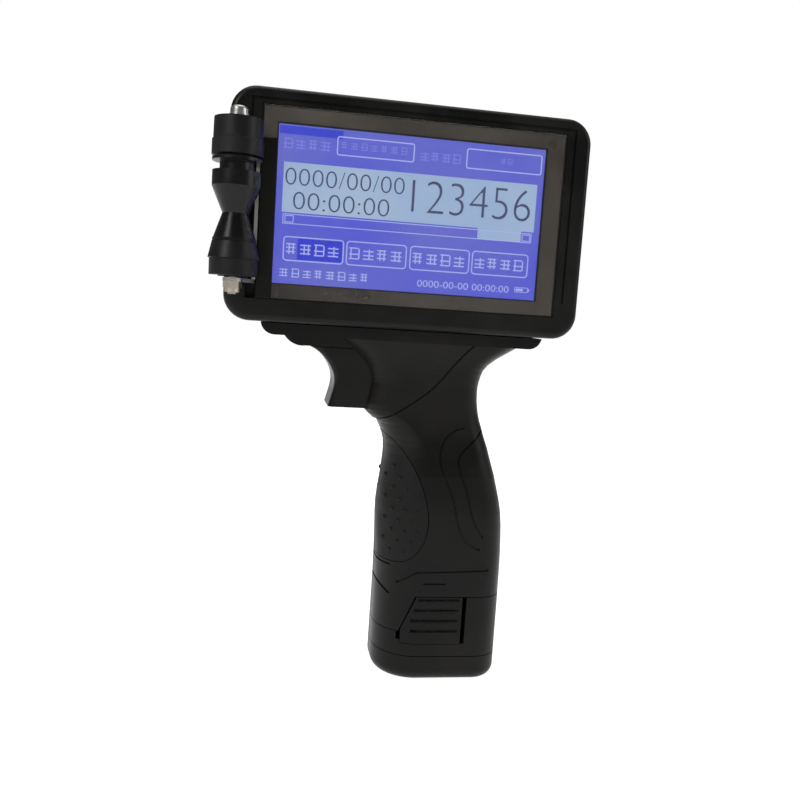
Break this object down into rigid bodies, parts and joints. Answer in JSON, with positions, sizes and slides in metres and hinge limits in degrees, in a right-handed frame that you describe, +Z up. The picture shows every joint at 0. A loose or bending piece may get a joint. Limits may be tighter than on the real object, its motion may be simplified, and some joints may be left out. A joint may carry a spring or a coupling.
{
  "type": "hand-held inkjet date code printer",
  "caption": "Pistol-grip hand-held inkjet coder with a touch screen head, side encoder roller, squeeze trigger, side-loaded ink cartridge and a latched slide-in battery base.",
  "frame": {"origin": "centre of the battery base's flat underside, on which the printer stands", "axes": "+Z up; -X towards the printing front and roller; -Y towards the touch screen"},
  "size_m": [0.1332, 0.0685, 0.2135],
  "materials": {
    "black_plastic": "fine textured, satin",
    "smooth_black": "smooth, semi-gloss",
    "glass": "glossy cover glass, dark border",
    "lcd": "lit blue picture",
    "rubber_black": "matte",
    "tyre_rubber": "matte",
    "steel": "brushed",
    "zinc": "pale zinc plating",
    "dark_screw": "blackened steel",
    "board_green": "solder-masked board",
    "dark_part": "moulded",
    "cartridge_body": "moulded",
    "gold": "plated contacts",
    "nozzle_metal": "thin orifice plate",
    "cell_wrap": "shrink wrap",
    "button_red": "smooth",
    "metal_shell": "plated sheet"
  },
  "bodies": {
    "printer": {"front_cover": "smooth_black", "touch_glass": "glass", "encoder_cover": "black_plastic", "lcd_panel": "lcd", "display_frame": "steel", "display_board": "board_green", "display_back_cover": "black_plastic", "housing_screws": "dark_screw", "roller_bracket": "steel", "roller_axle": "steel", "roller_nut": "zinc", "encoder_sensor": "dark_part", "rear_body": "black_plastic", "print_face_plate": "steel", "cartridge_stall": "dark_part", "contact_board": "gold", "lever_pin": "steel", "main_board": "board_green", "power_board": "board_green", "buzzer": "dark_part", "power_switch": "dark_part", "usb_port": "metal_shell", "charging_socket": "dark_part", "handle_left": "black_plastic", "handle_right": "black_plastic", "handle_screws": "dark_screw", "front_grip_pad": "rubber_black", "trigger_spring": "steel", "trigger_switch": "dark_part", "terminal_block": "dark_part"},
    "roller": {"roller_spool": "dark_part", "upper_tyre": "tyre_rubber", "lower_tyre": "tyre_rubber", "encoder_disc": "dark_part"},
    "trigger": {"trigger": "black_plastic"},
    "battery": {"battery_case": "black_plastic", "battery_base_cap": "black_plastic", "battery_cells": "cell_wrap", "battery_contacts": "gold"},
    "latch_left": {"battery_latch_left": "black_plastic"},
    "latch_right": {"battery_latch_right": "black_plastic"},
    "cartridge": {"ink_cartridge": "cartridge_body", "nozzle_plate": "nozzle_metal"},
    "clamp_lever": {"clamp_lever": "dark_part"},
    "power_button": {"power_button": "button_red"}
  },
  "joints": [
    {"name": "trigger_press", "type": "slide", "parent": "printer", "child": "trigger", "axis": [1, 0, 0], "range_m": [0, 0.005], "stiffness_N_per_m": 600, "springref_m": -0.004, "deforming": ["trigger_spring"]},
    {"name": "roller_spin", "type": "hinge", "parent": "printer", "child": "roller", "pos_m": [-0.0829, -0.0315, 0.17], "axis": [0, 0, 1], "continuous": true},
    {"name": "battery_slide", "type": "slide", "parent": "printer", "child": "battery", "axis": [0, 0, -1], "range_m": [0, 0.075]},
    {"name": "battery_latch_left", "type": "hinge", "parent": "battery", "child": "latch_left", "pos_m": [-0.0036, -0.0184, 0.0152], "axis": [-1, 0, 0], "range_deg": [0, 3.5], "stiffness_Nm_per_rad": 2, "springref_deg": -2.86},
    {"name": "battery_latch_right", "type": "hinge", "parent": "battery", "child": "latch_right", "pos_m": [-0.0036, 0.0184, 0.0152], "axis": [1, 0, 0], "range_deg": [0, 3.5], "stiffness_Nm_per_rad": 2, "springref_deg": -2.86},
    {"name": "cartridge_slide", "type": "slide", "parent": "printer", "child": "cartridge", "axis": [0, 1, 0], "range_m": [0, 0.03]},
    {"name": "clamp_lever_turn", "type": "hinge", "parent": "printer", "child": "clamp_lever", "pos_m": [-0.0134, 0.0246, 0.171], "axis": [0, 0, 1], "range_deg": [0, 75]},
    {"name": "power_button_press", "type": "slide", "parent": "printer", "child": "power_button", "axis": [-1, 0, 0], "range_m": [0, 0.0012], "stiffness_N_per_m": 1500, "springref_m": -0.0008}
  ]
}
